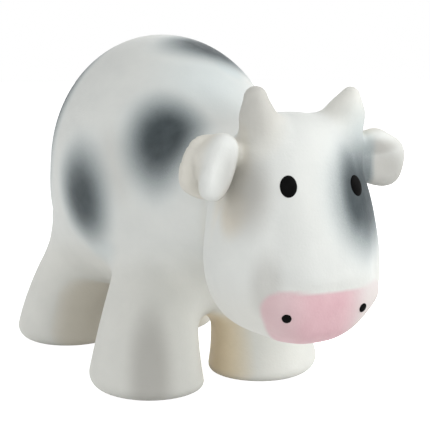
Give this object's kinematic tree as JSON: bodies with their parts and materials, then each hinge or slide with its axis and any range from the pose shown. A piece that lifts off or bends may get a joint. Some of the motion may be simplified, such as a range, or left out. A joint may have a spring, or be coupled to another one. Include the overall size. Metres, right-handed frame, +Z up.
{
  "type": "rubber cow teether",
  "caption": "Small standing cow of hollow painted rubber for a baby to chew and shake, with stub legs, folded ears, short horns, a pink muzzle and a loose ball rattle inside.",
  "frame": {"origin": "on the floor, under the middle of the overall box", "axes": "+X forward through the nose, +Y to the cow's left, +Z up"},
  "size_m": [0.1204, 0.0606, 0.0847],
  "materials": {
    "white_rubber": "matte white paint on natural rubber, with soft grey-blue spots",
    "pink_rubber": "matte pink paint on natural rubber",
    "black_paint": "thick black paint, slightly shiny",
    "capsule_plastic": "moulded, satin",
    "bead_steel": "bright"
  },
  "bodies": {
    "skin": {"trunk_shell": "white_rubber", "head_shell": "white_rubber", "tail": "white_rubber", "belly_plug": "white_rubber", "leg_front_left": "white_rubber", "leg_front_right": "white_rubber", "leg_rear_left": "white_rubber", "leg_rear_right": "white_rubber", "horn_left": "white_rubber", "horn_right": "white_rubber", "ear_left": "white_rubber", "ear_right": "white_rubber", "muzzle": "pink_rubber", "eye_left": "black_paint", "eye_right": "black_paint", "nostril_left": "black_paint", "nostril_right": "black_paint"},
    "rattle": {"rattle_cup_lower": "capsule_plastic", "rattle_cup_upper": "capsule_plastic"},
    "bead_1": {"rattle_bead_1": "bead_steel"},
    "bead_2": {"rattle_bead_2": "bead_steel"},
    "bead_3": {"rattle_bead_3": "bead_steel"},
    "bead_4": {"rattle_bead_4": "bead_steel"}
  },
  "joints": [
    {"name": "rattle_hop", "type": "slide", "parent": "skin", "child": "rattle", "axis": [0, 0, 1], "range_m": [0, 0.036]},
    {"name": "bead_1_hop", "type": "slide", "parent": "rattle", "child": "bead_1", "axis": [0, 0, 1], "range_m": [0, 0.012]},
    {"name": "bead_2_hop", "type": "slide", "parent": "rattle", "child": "bead_2", "axis": [0, 0, 1], "range_m": [0, 0.012]},
    {"name": "bead_3_hop", "type": "slide", "parent": "rattle", "child": "bead_3", "axis": [0, 0, 1], "range_m": [0, 0.012]},
    {"name": "bead_4_hop", "type": "slide", "parent": "rattle", "child": "bead_4", "axis": [0, 0, 1], "range_m": [0, 0.012]}
  ]
}
